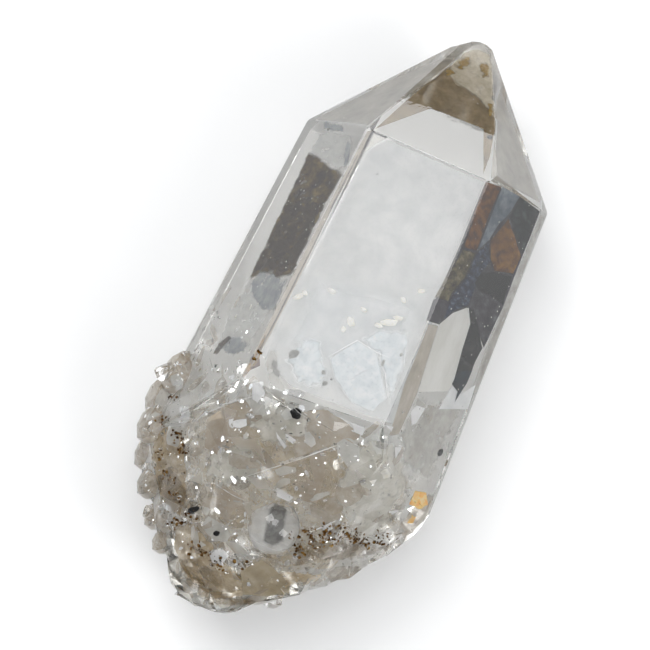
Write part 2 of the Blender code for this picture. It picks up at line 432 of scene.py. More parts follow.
dullness = node(tree, "Math", {"operation": "MAXIMUM"}, {0: dullness, 1: rough_back})
tree.links.new(dullness.outputs[0], shader.inputs["Roughness"])
ripples = node(tree, "TexNoise", {"Scale": 1.0 / (2.6 * MM), "Detail": 3.0}, {"Vector": place})
bump = node(tree, "Bump", {"Strength": 0.25, "Distance": 0.01 * MM}, {"Height": ripples})
tree.links.new(bump.outputs[0], shader.inputs["Normal"])
absorb = node(tree, "VolumeAbsorption", {"Color": linear("d8d4c2"), "Density": 8.0})
tree.links.new(absorb.outputs[0], tree.nodes["Material Output"].inputs["Volume"])
crystal.data.materials.clear()
crystal.data.materials.append(rock_crystal)
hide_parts("quartz_point")
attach(crystal, "root")

# The left side of the point: sheets of painted reflection that darken the face in smoky brown and
# dark brown, with bluish and milky patches. Each is one thin sheet sealed just under the face, whose
# "body" is 0 at its rim and 1 inside; its finish fades out with it.
FILM_COVER = 0.08
DRAPE_STEP = 0.5
DRAPE_DROP = 1.2


def keep_under(piece, cover):
    """Draw every corner of a piece that is less than this many mm under the skin back to there."""
    for corner in piece.data.vertices:
        near, way, _, _ = skin.find_nearest(corner.co)
        if (corner.co - near).dot(way) > -cover * MM:
            corner.co = near - way * cover * MM


def mark_body(piece, solid):
    """Note for every corner of a piece whether it is in its solid body or on its rim."""
    body = piece.data.attributes.new("body", "FLOAT", "POINT")
    for corner, is_solid in enumerate(solid):
        body.data[corner].value = float(is_solid)


def below_skin(place, depth):
    """The place some mm below the lowest of the crystal's upper side near by."""
    heights = []
    for aside, along in ((0, 0), (DRAPE_STEP, 0), (-DRAPE_STEP, 0), (0, DRAPE_STEP), (0, -DRAPE_STEP)):
        over = Vector((place.x + aside * MM, place.y + along * MM, 0.05))
        spot = skin.ray_cast(over, Vector((0.0, 0.0, -1.0)))[0]
        if spot:
            heights.append(spot.z)
    if not heights:
        return place
    return Vector((place.x, place.y, max(min(heights), heights[0] - DRAPE_DROP * MM) - depth * MM))


def film(name, face, depth, fade, material, outline, draped=False):
    """A thin sheet at a depth under a face: its fading rim's width, and its outline in x and y.

    A draped sheet follows the broken skin of the base instead of staying flat.
    """
    pick()
    bpy.ops.mesh.primitive_circle_add(vertices=len(outline), radius=1.0, fill_type="NGON")
    sheet = bpy.context.object
    sheet.name = name
    point, normal = FACES[face]
    level = point - normal * depth
    for corner, (x, y) in zip(sheet.data.vertices, outline):
        corner.co = (x, y, level.z - (normal.x * (x - level.x) + normal.y * (y - level.y)) / normal.z)
    edit("FACE")
    bpy.ops.mesh.inset(thickness=fade, depth=0.0)
    bpy.ops.object.mode_set(mode="OBJECT")
    inside = {corner for part in sheet.data.polygons if part.select for corner in part.vertices}
    mark_body(sheet, [corner in inside for corner in range(len(sheet.data.vertices))])
    turned = sum(part.normal.dot(normal) for part in sheet.data.polygons) < 0.0
    edit("FACE")
    if turned:
        bpy.ops.mesh.flip_normals()
    if draped:
        bpy.ops.mesh.quads_convert_to_tris(quad_method="SHORTEST_DIAGONAL", ngon_method="BEAUTY")
        bpy.ops.mesh.subdivide(number_cuts=2)
    pick()
    sheet.data.transform(LAY_DOWN)
    for corner in sheet.data.vertices if draped else ():
        corner.co = below_skin(corner.co, depth)
    keep_under(sheet, FILM_COVER)
    sheet.data.materials.append(material)
    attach(sheet, "root")


def films(face, rows, draped=False):
    """Several sheets under one face: names, depths, widths of the rims, finishes and outlines."""
    for name, depth, fade, material, outline in rows:
        film(name, face, depth, fade, material, outline, draped)


def mineral_and_painted_light(name, hues, patch, opacity, fray=0.5, painted_sparkle=0.0, seed=0.0, stretch=1.0, rough=0.6):
    """Cloudy matter, both minerals and painted light and shade: four hues from dark to light, mottled in patches of
    this many mm.

    opacity is how much of the light it stops, fray how ragged its rim is, painted_sparkle the share
    of its grains painted white as glints, and stretch how much the patches are drawn out.
    """
    material, tree, shader = material_of(name)
    shader.inputs["Roughness"].default_value = rough
    shader.inputs["Specular IOR Level"].default_value = 0.0
    place = node(tree, "TexCoord").outputs["Object"]
    shifted = node(tree, "Mapping", {
        "Location": (seed * 0.013, seed * 0.029, seed * 0.007), "Scale": (1.0, stretch, 1.0)}, {"Vector": place})
    clouds = node(tree, "TexNoise", {
        "Scale": 1.0 / (patch * MM), "Detail": 8.0, "Roughness": 0.68, "Distortion": 0.1}, {"Vector": shifted})
    ramp = node(tree, "ValToRGB", {}, {0: clouds})
    ramp.color_ramp.elements[0].position = 0.32
    ramp.color_ramp.elements[1].position = 0.70
    ramp.color_ramp.elements.new(0.45)
    ramp.color_ramp.elements.new(0.56)
    for stop, hue in zip(ramp.color_ramp.elements, hues.split()):
        stop.color = linear(hue)
    colour = ramp.outputs[0]
    if painted_sparkle:
        # The white grains are painted glints: small white flecks mixed into the colour.
        grains = node(tree, "TexVoronoi", {"Scale": 1.0 / (0.27 * MM)}, {"Vector": place})
        parts = node(tree, "SeparateColor", {}, {0: grains.outputs["Color"]})
        reach = node(tree, "Math", {"operation": "MULTIPLY", 1: 0.30}, {0: parts.outputs[1]})
        near = node(tree, "Math", {"operation": "LESS_THAN"}, {0: grains.outputs["Distance"], 1: reach})
        few = node(tree, "Math", {"operation": "LESS_THAN", 1: painted_sparkle}, {0: parts})
        painted_flash = node(tree, "Math", {"operation": "MULTIPLY"}, {0: near, 1: few})
        mix = node(tree, "Mix", {"data_type": "RGBA", 7: linear("f4f2ea")}, {0: painted_flash, 6: colour})
        colour = mix.outputs[2]
    tree.links.new(colour, shader.inputs["Base Color"])
    if opacity == 1.0 and fray == 0.0:
        return material
    body = node(tree, "Attribute", {"attribute_name": "body"}).outputs["Fac"]
    wisps = node(tree, "TexNoise", {"Scale": 1.0 / (patch * 0.8 * MM), "Detail": 5.0}, {"Vector": shifted})
    ragged = node(tree, "MapRange", {"From Min": 0.3, "From Max": 0.7, "To Max": -1.7 * fray}, {"Value": wisps})
    edge = node(tree, "Math", {"operation": "MULTIPLY_ADD", 1: 1.0 + fray}, {0: body, 2: ragged})
    fade = node(tree, "MapRange", {"interpolation_type": "SMOOTHSTEP", "To Max": opacity}, {"Value": edge})
    tree.links.new(fade.outputs[0], shader.inputs["Alpha"])
    return material


# The painted reflections give dark brown, drawn-out patches with a few grains painted white as glints,
# a soft white wisp, and a cooler, greyer bluish one.
painted_smoky_reflection = mineral_and_painted_light("painted_smoky_reflection_film", "1e1606 3c2c0d 5c4719 867444", 2.2, 1.0, 0.5, 0.12, 1.0, 1.6)
dark_brown_and_painted_reflection = mineral_and_painted_light("dark_brown_film_and_painted_reflection", "1a1004 2e1f08 4a3411 77602f", 1.3, 0.85, 0.9, 0.12, 2.0, 2.0)
painted_milky_reflection = mineral_and_painted_light("painted_milky_reflection_film", "cfd0cd dadbd8 e5e6e3 f1f1ee", 1.6, 0.40, 0.6, 0.03, 11.0, 2.0)
painted_bluish_reflection = mineral_and_painted_light("painted_bluish_reflection_film", "78808a 8b9299 9fa5a8 babdbc", 1.2, 0.7, 0.8, 0.08, 13.0)
films("left", (
    ("left_painted_smoky_reflection", 0.35, 0.7, painted_smoky_reflection, ((-10.7, -3.4), (-9.4, -3.5), (-7.6, -4.4), (-6.1, -5.0), (-6.5, -8.4),
     (-6.6, -11.8), (-6.7, -16.0), (-8.3, -16.8), (-9.8, -16.6), (-10.9, -17.9))),
    ("left_painted_dark_reflection", 0.30, 1.0, dark_brown_and_painted_reflection, ((-10.6, -8.6), (-8.4, -7.2), (-6.6, -8.4), (-6.6, -15.8), (-8.3, -16.5),
     (-9.8, -16.2), (-11.0, -17.7))),
    ("left_painted_bluish_reflection", 0.28, 0.8, painted_bluish_reflection, ((-10.0, -15.5), (-6.9, -15.7), (-6.7, -19.4), (-7.8, -20.3), (-9.7, -19.1),
     (-10.7, -17.6))),
    ("left_top_painted_milky_reflection", 0.40, 0.9, painted_milky_reflection, ((-10.4, -1.4), (-9.4, -0.6), (-7.0, -0.9), (-5.9, -4.1), (-7.0, -5.4),
     (-9.4, -4.6), (-10.9, -4.2))),
    ("left_rod", 0.22, 0.3, painted_bluish_reflection, ((-7.6, -1.5), (-6.8, -2.1), (-6.2, -4.2), (-6.6, -4.7), (-7.2, -3.3))),
    ("left_patch", 0.2, 0.4, painted_bluish_reflection, ((-10.8, -0.1), (-8.6, -0.2), (-7.9, -1.2), (-10.2, -1.2))),
    ("left_painted_milky_reflection", 0.40, 0.9, painted_milky_reflection, ((-11.1, -18.0), (-9.2, -17.2), (-7.0, -16.7), (-7.2, -21.4), (-7.8, -24.1),
     (-10.8, -24.6), (-11.4, -20.9))),
    ("left_painted_round_reflection", 0.25, 0.5, painted_bluish_reflection, ((-10.2, -22.6), (-9.2, -22.2), (-8.0, -22.9), (-7.9, -24.1), (-9.1, -24.7),
     (-10.7, -24.6))),
    ("left_painted_round_reflection_rim", 0.22, 0.25, dark_brown_and_painted_reflection, ((-11.0, -25.0), (-10.9, -23.7), (-10.2, -22.6), (-9.7, -22.9),
     (-10.2, -23.9), (-10.4, -24.9)))))

# The worn edge between the upper and left faces: a strip of beige clay under it, ending at the
# base in a spot of red-brown iron oxide with a yellow tail.

# The clay gives a dull beige line along the edge; the iron oxides end it in a nearly black red
# spot and a thin yellow-brown tail.
clay_strip = mineral_and_painted_light("beige_edge_clay", "998f7f a69c8d b2a99b c0b8ab", 1.2, 0.85, 0.12, 0.03, 15.0)
red_iron = mineral_and_painted_light("red_iron_oxide", "220b03 3c1807 5c300e 86581f", 0.5, 1.0, 0.05, 0.0, 24.0)
yellow_iron = mineral_and_painted_light("yellow_iron_oxide", "5a3e0c 7a5614 9a7630 b89a5c", 0.7, 0.8, 0.5, 0.0, 25.0)
films("edge", (
    ("edge_strip", 0.12, 0.06, clay_strip, ((-5.7, -0.3), (-6.1, -0.6), (-6.4, -5.3), (-6.9, -16.2), (-7.2, -22.4),
     (-7.3, -25.5), (-6.8, -24.9), (-6.5, -21.6), (-6.2, -15.5), (-6.1, -8.8), (-5.8, -4.5))),
    ("edge_iron", 0.10, 0.05, red_iron, ((-7.2, -23.8), (-6.5, -24.0), (-6.2, -24.6), (-6.8, -25.3), (-7.3, -24.9))),
    ("edge_iron_tail", 0.11, 0.05, yellow_iron, ((-7.0, -21.8), (-6.8, -21.8), (-6.5, -24.3), (-7.1, -26.3),
     (-7.4, -25.9), (-7.1, -24.3)))))

# The right side of the point: sharp-edged zones of painted reflection under the face, each with its
# own film, from rusty olive and grey-blue to slate, ochre, violet-grey and black, and a black spike with teal tips.

# Each zone of painted reflection has one main tone with its own drawn-out mottling: rusty olive,
# ochre, slate, black, blue-grey, violet-grey, a night blue with many grains painted white as glints, dusty
# grey-brown, an even pale and a beige band, plain white, nearly black teal tips, and a thin grey one low down and
# along the rim.
painted_olive_reflection = mineral_and_painted_light("painted_olive_reflection_film", "3a1d02 583004 754608 946424", 1.2, 1.0, 0.15, 0.07, 4.0, 2.0)
ochre = mineral_and_painted_light("painted_ochre_reflection_film", "4a2a04 66400a 845814 a47830", 2.0, 1.0, 0.3, 0.06, 3.0, 2.0)
slate = mineral_and_painted_light("painted_slate_reflection_film", "07090a 0f1416 1d2526 454f50", 1.6, 1.0, 0.12, 0.08, 5.0, 2.0)
black = mineral_and_painted_light("painted_black_reflection_film", "010101 030303 090908 2a2927", 2.2, 1.0, 0.3, 0.06, 6.0, 2.0)
blue_grey = mineral_and_painted_light("painted_blue_grey_reflection_film", "4c565f 5d6871 76808a a3abb2", 2.0, 0.95, 0.12, 0.05, 7.0, 1.4)
violet = mineral_and_painted_light("painted_violet_grey_reflection_film", "1b191d 2e2b31 454249 6b686e", 2.2, 1.0, 0.2, 0.08, 8.0, 1.4)
night_blue = mineral_and_painted_light("painted_night_blue_reflection_film", "080d18 182238 36415a 78828f", 1.0, 0.96, 0.4, 0.22, 9.0, 2.0)
grey_brown = mineral_and_painted_light("painted_grey_brown_reflection_film", "2e2412 4d4329 716648 a19a7e", 1.3, 0.95, 0.3, 0.12, 10.0, 2.0)
pale = mineral_and_painted_light("pale_painted_light", "dedcd5 e6e5df eeede8 f6f5f1", 3.0, 0.9, 0.08, 0.02, 12.0, 0.4)
beige_strip = mineral_and_painted_light("beige_zone_and_painted_reflection", "a79d8c b8ae9e c5bcae d6cdc1", 2.0, 0.85, 0.1, 0.03, 16.0, 0.5)
white = mineral_and_painted_light("painted_white_reflection_film", "e6e8e8 eeefef f5f6f6 fcfcfc", 2.0, 0.9, 0.1, 0.0, 17.0)
teal = mineral_and_painted_light("painted_teal_reflection_film", "010a10 04151f 08222e 1f4654", 1.0, 1.0, 0.2, 0.06, 18.0)
haze_and_painted_reflection = mineral_and_painted_light("grey_haze_and_painted_reflection", "a5a197 b5b1a8 c4c1b9 d8d6d0", 1.3, 0.55, 0.7, 0.06, 21.0)
films("right", (
    ("right_ground", 0.42, 0.1, violet, ((5.8, -0.4), (9.1, 0.4), (11.3, 0.4), (11.5, -4.2), (11.8, -9.3),
     (11.7, -13.8), (10.7, -12.9), (8.8, -11.4), (7.1, -14.2), (6.0, -14.5), (6.0, -7.0))),
    ("right_painted_olive_reflection", 0.30, 0.15, painted_olive_reflection, ((5.8, -0.4), (7.2, 0.1), (7.2, -3.0), (7.5, -6.5), (6.2, -7.0),
     (6.0, -3.7))),
    ("right_grey_brown", 0.30, 0.2, grey_brown, ((6.2, -7.0), (7.5, -6.5), (7.5, -9.2), (7.0, -11.1), (7.0, -12.1),
     (5.8, -12.4))),
    ("right_block", 0.30, 0.1, violet, ((5.8, -12.4), (7.0, -12.1), (7.1, -14.3), (6.0, -14.6))),
    ("right_blue_grey", 0.30, 0.1, blue_grey, ((7.2, 0.1), (9.1, 0.4), (8.8, -1.8), (8.3, -3.3), (8.1, -4.9),
     (7.5, -6.5))),
    ("right_slate", 0.30, 0.12, slate, ((9.1, 0.4), (11.3, 0.4), (11.5, -4.2), (8.9, -1.9))),
    ("right_ochre", 0.30, 0.25, ochre, ((8.9, -1.9), (11.5, -4.2), (11.5, -6.3), (9.7, -7.2), (8.9, -6.5),
     (8.1, -4.9))),
    ("right_night_blue", 0.30, 0.2, night_blue, ((7.5, -6.5), (8.1, -4.9), (9.1, -6.5), (8.7, -7.9), (8.8, -11.3),
     (7.7, -12.6), (7.2, -14.1), (7.0, -12.1), (7.0, -11.1), (7.5, -9.2))),
    ("right_black", 0.26, 0.25, black, ((8.6, -7.9), (9.6, -7.0), (11.5, -6.3), (11.8, -9.3), (10.4, -9.4),
     (9.2, -9.6), (8.4, -9.2))),
    ("right_violet", 0.34, 0.15, violet, ((8.6, -9.4), (10.3, -9.0), (11.8, -9.0), (11.7, -13.8), (10.7, -12.6),
     (8.8, -11.3))),
    ("right_spike", 0.26, 0.12, black, ((8.8, -11.3), (9.4, -11.2), (10.7, -12.6), (11.7, -13.8), (11.6, -15.3),
     (11.7, -17.5), (11.5, -18.4), (10.5, -18.4), (9.9, -14.9), (9.6, -12.6))),
    ("right_teal", 0.22, 0.12, teal, ((10.45, -17.0), (11.7, -16.0), (11.7, -17.6), (11.4, -19.9), (11.2, -18.7),
     (10.4, -18.4))),
    ("right_pale", 0.34, 0.08, pale, ((8.7, -11.4), (9.7, -12.5), (9.9, -14.9), (10.5, -18.3), (10.3, -19.2),
     (7.7, -20.8), (7.0, -14.2), (7.7, -12.6))),
    ("right_beige", 0.34, 0.1, beige_strip, ((6.2, -14.7), (7.0, -14.4), (7.7, -20.8), (7.7, -25.1), (6.9, -25.7),
     (6.4, -20.8))),
    ("right_white", 0.30, 0.06, white, ((10.5, -18.2), (11.6, -18.6), (12.4, -17.1), (12.7, -19.6), (10.2, -21.1),
     (10.4, -19.3))),
    ("right_low_painted_reflection", 0.5, 1.5, haze_and_painted_reflection, ((7.6, -20.9), (10.3, -19.3), (11.5, -18.6), (12.6, -18.1), (12.2, -23.0),
     (12.4, -28.6), (9.1, -27.6), (7.2, -25.9))),
    ("right_rim_painted_reflection", 0.45, 0.08, haze_and_painted_reflection, ((12.9, -17.9), (12.7, -14.6), (12.6, -12.6), (12.3, -7.0), (11.8, 0.2),
     (11.4, 0.2), (11.5, -4.8), (11.7, -9.8), (11.8, -13.8), (12.2, -18.2)))))

# The point: a smoky brown film under its upper face, which leaves a clear window with straight
# sides, a milky cream tip spotted with soft iron stains, and thin grey haze under both sides.

# The smoke is an even warm brown, the cream an opaque chalky tip, the stains are soft rusty spots
# in it, and the haze dims the side faces to a warm grey.
smoke = mineral_and_painted_light("smoky_point_film", "6b5a3d 7d6b4c 8d7b5b a4937a", 1.6, 0.96, 0.12, 0.08, 22.0)
cream = mineral_and_painted_light("cream_crust", "b5aa94 c2b8a3 cfc6b3 e0dacd", 1.0, 0.85, 0.5, 0.03, 20.0)
stain = mineral_and_painted_light("soft_iron_stain", "86682a 9b7e3e b0965c c4b388", 0.8, 0.75, 0.9, 0.0, 23.0)
point_haze = mineral_and_painted_light("grey_point_haze", "857f74 979186 a6a095 b8b3a9", 2.6, 0.72, 0.25, 0.02, 27.0)
films("point", (
    ("point_smoke", 0.25, 0.08, smoke, ((-5.6, -0.3), (-4.2, 3.8), (-2.6, 7.8), (-1.9, 9.4), (-0.3, 10.0), (2.4, 8.9),
     (4.5, 5.6), (5.2, 2.2), (5.4, -0.2), (3.5, 4.5), (-1.7, 4.2))),
    ("tip_cream", 0.15, 0.6, cream, ((-2.4, 8.4), (-1.7, 11.0), (-0.6, 12.6), (1.2, 12.6), (2.6, 10.4), (3.6, 8.0),
     (4.6, 5.4), (2.9, 6.6), (0.9, 7.4), (-0.7, 7.6))),
    ("tip_stain_a", 0.1, 0.9, stain, ((0.1, 10.7), (1.0, 11.9), (2.3, 11.2), (2.7, 9.7), (1.1, 9.0))),
    ("tip_stain_b", 0.1, 0.8, stain, ((-2.0, 9.1), (-1.7, 10.8), (-0.5, 11.6), (0.4, 10.3), (-0.4, 9.2))),
    ("tip_stain_c", 0.1, 0.4, stain, ((-2.4, 8.6), (-1.7, 9.6), (-0.9, 8.8), (-1.7, 7.7))),
    ("tip_stain_d", 0.1, 0.3, stain, ((2.7, 7.3), (3.4, 7.6), (4.1, 6.0), (3.4, 5.8)))))
film("point_left_haze", "point left", 0.35, 0.12, point_haze, ((-11.6, -0.4), (-6.1, -0.1), (-3.8, 5.3), (-2.5, 7.8),
     (-1.6, 10.6), (-3.0, 9.6), (-5.8, 6.8)))
film("point_right_haze", "point right", 0.35, 0.12, point_haze, ((6.1, 0.1), (11.0, 1.0), (6.8, 5.7), (3.0, 9.7),
     (3.3, 7.8), (4.2, 5.9)))


# Cracks under the upper face: three thin veils of trapped liquid, outlined by the edges of the
# cracks in painted highlight and painted shade, a faint mist of tiny bubbles that also paints the face
# lighter, painted light in one corner and haze in another, and a brown line along its worn edge.

# The mist only whitens the face, partly as a faint mist and partly as painted light; a veil is a bluish
# white film with brighter wisps; a crack face's flash is a painted white highlight, a spot is cream, and
# cream is also the colour of a few painted glints; the dark side of a crack seen on its edge is a grey line of
# painted shade.
mist_and_painted_light = mineral_and_painted_light("faint_mist_and_painted_light", "d3d9de e1e6ea eff2f5 fdfefe", 1.8, 0.34, 0.0, 0.01, 30.0)
veil = mineral_and_painted_light("liquid_crack_veil", "ced8de e0e8ec f0f5f8 ffffff", 0.9, 0.64, 0.35, 0.10, 31.0)
painted_highlight = mineral_and_painted_light("painted_white_highlight", "eeeeee f4f4f4 f8f8f8 fdfdfd", 1.0, 1.0, 0.05, 0.0, 32.0, 1.0, 0.2)
cream_spot_and_painted_glint = mineral_and_painted_light("cream_spot_and_painted_glint_film", "ebe7da f1eee4 f7f5ee fdfcf8", 0.8, 0.95, 0.4, 0.0, 33.0)
painted_shade_line = mineral_and_painted_light("painted_crack_shade", "74777a 85888b 96999b aeb0b1", 0.8, 0.9, 0.2, 0.0, 35.0)


def streak(name, face, depth, width, material, path, draped=False):
    """A crack seen on its edge: a narrow ribbon under a face, following a path to two thin ends."""
    sides = ([], [])
    last = len(path) - 1
    for number, (x, y) in enumerate(path):
        across = (Vector(path[min(number + 1, last)]) - Vector(path[max(number - 1, 0)])).normalized()
        half = width / 2.0 if 0 < number < last else width / 5.0
        sides[0].append((x - across.y * half, y + across.x * half))
        sides[1].append((x + across.y * half, y - across.x * half))
    film(name, face, depth, width * 0.08, material, sides[0] + sides[1][::-1], draped)


# The two face mists also paint the face lighter, and the pale sheet in the upper left corner is painted light over a
# dark reflection.
films("upper", (
    ("face_mist_and_painted_light", 1.3, 0.15, mist_and_painted_light, ((-5.65, -0.4), (5.8, -0.4), (6.0, -7.0), (6.2, -14.6), (6.6, -21.0), (6.8, -24.6),
     (3.4, -25.0), (-3.0, -25.2), (-6.6, -23.6), (-6.2, -15.5), (-6.0, -8.8), (-5.75, -4.5))),
    ("face_low_mist_and_painted_light", 1.15, 2.4, mist_and_painted_light, ((-5.9, -14.0), (5.9, -12.0), (6.3, -20.0), (6.2, -24.0), (-6.2, -22.8))),
    ("corner_painted_light", 0.15, 0.3, pale, ((-5.6, -0.4), (-3.9, -0.4), (-4.6, -1.3), (-5.2, -2.2), (-5.7, -3.2))),
    ("crack_veil_low", 1.0, 0.25, veil, ((-0.8, -21.3), (1.0, -18.7), (3.1, -19.0), (5.7, -22.5), (5.0, -24.4),
     (2.8, -24.4), (0.4, -22.9))),
    ("crack_veil_high", 0.8, 0.8, veil, ((0.6, -18.9), (1.9, -17.0), (5.2, -15.6), (6.3, -19.3), (6.4, -23.8),
     (3.1, -19.4))),
    ("crack_veil_left", 0.9, 0.9, veil, ((-4.6, -23.2), (-4.0, -20.4), (-1.8, -19.6), (-0.9, -21.4), (0.4, -23.0),
     (-0.4, -24.6), (-2.6, -25.0))),
    ("face_foot", 0.7, 0.5, haze_and_painted_reflection, ((-6.4, -22.6), (-5.3, -22.4), (-4.3, -24.2), (-2.6, -26.0), (-4.2, -26.2),
     (-5.9, -24.9)))))
streak("edge_line", "edge", 0.1, 0.14, dark_brown_and_painted_reflection, ((-5.95, -3.0), (-6.15, -8.0), (-6.35, -14.0), (-6.6, -20.0),
       (-6.9, -24.5)))
# The veil edges are painted: white lines of painted highlight on one side, grey lines of painted shade on the other.
streak("veil_edge_low", "upper", 0.7, 0.07, painted_shade_line, ((-0.8, -21.3), (0.4, -22.9), (2.0, -24.0), (3.2, -24.4)))
streak("veil_edge_high", "upper", 0.7, 0.06, painted_highlight, ((-0.8, -21.3), (0.1, -20.0), (1.0, -18.8), (3.1, -19.1),
       (4.4, -19.1)))
streak("veil_edge_in", "upper", 0.7, 0.05, painted_shade_line, ((1.9, -22.4), (2.6, -21.3), (3.3, -20.6)))
streak("veil_edge_side", "upper", 0.7, 0.05, painted_highlight, ((3.1, -19.1), (4.6, -20.6), (5.6, -22.4)))

# Clay and milk in the base: beige clay sealed in its cracks, clouds of tiny bubbles, painted white
# highlights where crack faces flash, and an orange flake near the right side that paints the iridescent sheen of a
# thin crack.

# The clay gives smooth beige windows, the dust a thin mottled warmth, dense clay a darker crust,
# the bubbles soft white clouds, the rusty wash brown hollows, and the flake a clear orange of painted iridescent
# sheen.
clay = mineral_and_painted_light("beige_clay_veil", "b29f88 beae99 cabdaa d9cfc1", 2.4, 0.62, 0.3, 0.05, 14.0)
dusty = mineral_and_painted_light("dusty_clay_veil", "b09b78 c0ad8b d0c1a3 e4dac5", 1.3, 0.43, 0.7, 0.12, 34.0)
dense = mineral_and_painted_light("dense_clay", "a08c6a b7a382 cbb99a e0d3bc", 1.0, 0.8, 0.6, 0.16, 36.0)
cloud = mineral_and_painted_light("bubble_cloud", "d6d4c9 e0ded4 eae8e0 f5f4ee", 1.2, 0.6, 0.8, 0.08, 37.0)
soft_rust = mineral_and_painted_light("rusty_clay_wash", "66502b 826a41 9c855c bcac8f", 0.8, 0.55, 0.9, 0.08, 38.0)
grey_facet = mineral_and_painted_light("grey_facet_film", "a39477 ae9f83 b9ab91 c6b9a3", 2.5, 0.88, 0.05, 0.02, 40.0)
painted_iridescence = mineral_and_painted_light("painted_iridescent_flake", "ee9a34 fdbd50 ffd97e fff0c8", 0.7, 0.97, 0.1, 0.0, 39.0)
films("base", (
    ("clay_window", 1.3, 0.2, clay, ((-10.1, -31.2), (-7.9, -29.2), (-6.5, -27.9), (-4.0, -27.1), (-2.6, -27.6),
     (1.0, -25.4), (4.8, -26.2), (4.9, -26.8), (2.6, -28.5), (-1.7, -32.3), (-4.0, -33.7), (-5.9, -33.5),
     (-8.4, -33.7), (-10.0, -31.8))),
    ("clay_low", 1.5, 0.3, clay, ((-1.7, -32.3), (2.6, -28.5), (4.8, -27.7), (6.0, -31.1), (5.9, -33.6), (2.0, -33.9),
     (-0.7, -33.5))),
    ("clay_pink", 1.2, 0.3, clay, ((-6.5, -35.6), (-3.3, -35.4), (-1.7, -37.4), (-1.9, -38.8), (-4.3, -38.3)))))
films("base", (
    ("dust_left", 1.2, 1.4, dusty, ((-11.5, -30.0), (-6.0, -26.5), (0.0, -27.5), (2.0, -33.0), (0.0, -41.0),
     (-5.0, -43.0), (-10.0, -38.0))),
    ("dust_right", 1.4, 1.4, dusty, ((0.0, -27.0), (6.0, -26.0), (11.0, -28.0), (11.5, -33.0), (6.0, -38.0),
     (1.0, -42.0), (-1.0, -36.0)))), True)
films("base left", (
    ("crust_clay_left", 0.5, 0.6, dense, ((-13.2, -34.0), (-12.6, -32.1), (-10.4, -32.3), (-8.0, -36.4),
     (-7.0, -40.0), (-9.0, -40.2), (-11.5, -37.6))),
    ("crust_clay_low", 0.4, 0.5, dense, ((-8.3, -40.5), (-6.0, -39.6), (-2.7, -41.6), (0.3, -42.8), (3.4, -40.6),
     (7.0, -39.2), (6.6, -40.6), (2.8, -43.4), (-1.6, -46.0), (-4.8, -45.0), (-6.8, -43.2)))), True)
films("base", (
    ("grey_facet", 0.15, 0.1, grey_facet, ((-0.5, -42.3), (0.9, -40.4), (2.5, -40.8), (4.3, -41.5), (4.6, -42.2),
     (2.8, -43.4), (0.6, -44.2))),
    ("clear_facet_ground", 0.7, 0.4, dusty, ((-0.9, -41.2), (3.9, -38.1), (8.0, -36.9), (7.2, -38.4), (3.6, -41.0),
     (0.5, -43.2))),
    ("cloud_left", 0.8, 0.9, cloud, ((-6.2, -29.4), (-4.9, -26.8), (-1.6, -26.0), (0.6, -26.9), (0.2, -29.2),
     (-3.3, -31.3))),
    ("cloud_low", 0.8, 1.0, cloud, ((-8.0, -33.3), (-5.2, -30.9), (-2.3, -30.9), (-1.6, -33.7), (-4.3, -36.0),
     (-7.2, -35.6))),
    ("cloud_right", 0.8, 1.2, cloud, ((3.4, -28.4), (6.0, -25.6), (9.1, -25.6), (10.4, -28.5), (10.8, -32.1),
     (10.6, -34.4), (7.6, -36.1), (4.4, -33.0))),
    ("rust_wash_right", 0.25, 0.5, soft_rust, ((3.0, -38.4), (5.0, -36.5), (8.0, -35.3), (11.0, -34.4), (10.6, -35.8),
     (8.4, -37.2), (5.6, -38.8), (4.0, -40.0)))), True)
films("base left", (
    ("rust_wash_left", 0.3, 0.6, soft_rust, ((-11.6, -37.0), (-10.4, -35.4), (-9.1, -36.2), (-7.2, -38.0),
     (-6.3, -38.9), (-7.4, -40.1), (-9.6, -39.4), (-10.7, -38.4))),
    ("rust_wash_low", 0.3, 0.5, soft_rust, ((-6.4, -43.3), (-4.5, -42.6), (-1.8, -43.4), (-0.9, -44.2), (-2.8, -45.2),
     (-5.2, -44.8)))), True)
film("rust_wash_foot", "base", 0.3, 0.5, soft_rust, ((-6.9, -43.2), (-3.4, -44.2), (0.2, -44.4), (3.4, -43.2),
     (1.8, -45.0), (-1.6, -46.4), (-4.9, -45.7)), True)
films("base right", (
    ("corner_haze", 0.25, 0.4, beige_strip, ((10.9, -32.4), (11.6, -30.2), (12.4, -28.4), (13.3, -28.4),
     (13.4, -30.2), (12.9, -32.0), (12.0, -33.2))),
    ("notch_rust", 0.25, 0.4, soft_rust, ((6.2, -39.2), (7.6, -37.8), (9.4, -37.0), (10.4, -37.4), (9.2, -38.9),
     (7.6, -40.1)))), True)
# The two orange sheets paint the iridescent sheen of a thin crack.
films("base right", (
    ("painted_iridescent_flake", 0.3, 0.08, painted_iridescence, ((11.2, -30.1), (11.5, -28.8), (12.7, -28.4), (13.0, -29.4), (12.3, -30.1))),
    ("painted_iridescent_flake_low", 0.3, 0.06, painted_iridescence, ((11.9, -31.8), (11.9, -30.9), (12.4, -30.8), (12.4, -31.5)))))
